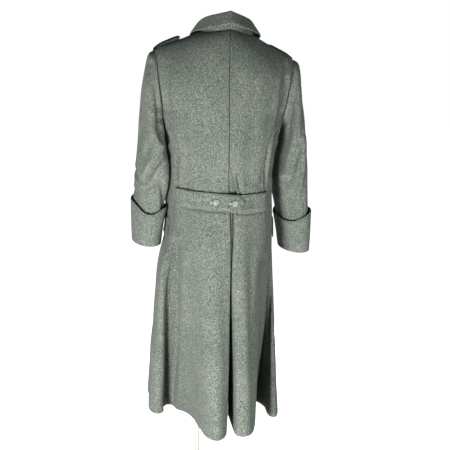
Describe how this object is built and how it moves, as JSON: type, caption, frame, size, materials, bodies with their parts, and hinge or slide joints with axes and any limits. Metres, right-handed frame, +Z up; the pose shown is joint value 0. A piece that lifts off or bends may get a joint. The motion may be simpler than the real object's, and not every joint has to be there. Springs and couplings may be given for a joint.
{
  "type": "military greatcoat on a limbless dress form with a pole stand",
  "caption": "Full-length double-breasted wool military greatcoat with turned-back cuffs, half belt and back pleat, worn by a limbless dress form on a pole with a round base.",
  "frame": {"origin": "centre of the underside of the round base, on the floor", "axes": "+Z up; the coat's back faces -Y and its front +Y; +X is the wearer's right"},
  "size_m": [0.5853, 0.549, 1.5583],
  "materials": {
    "wool": "heathered grey-green milled wool, matt",
    "strap_cloth": "dark bottle-green badge cloth, matt",
    "button_metal": "grey painted and pebbled, satin",
    "form_linen": "plain linen cover, matt",
    "stand_paint": "cream paint, satin"
  },
  "bodies": {
    "root": {"back_left": "wool", "back_right": "wool", "front_left": "wool", "front_right": "wool", "collar": "wool", "sleeve_left_top": "wool", "sleeve_left_under": "wool", "sleeve_right_top": "wool", "sleeve_right_under": "wool", "cuff_left": "wool", "cuff_right": "wool", "belt_left": "wool", "belt_right": "wool", "pocket_flap_left": "wool", "pocket_flap_right": "wool", "shoulder_strap_left": "strap_cloth", "shoulder_strap_right": "strap_cloth", "button_belt_1": "button_metal", "button_belt_2": "button_metal", "button_strap_left": "button_metal", "button_strap_right": "button_metal", "button_left_1": "button_metal", "button_left_2": "button_metal", "button_left_3": "button_metal", "button_left_4": "button_metal", "button_left_5": "button_metal", "button_right_1": "button_metal", "button_right_2": "button_metal", "button_right_3": "button_metal", "button_right_4": "button_metal", "button_right_5": "button_metal", "form_torso": "form_linen", "stand_socket": "stand_paint", "stand_pole": "stand_paint", "stand_base": "stand_paint"}
  },
  "joints": []
}
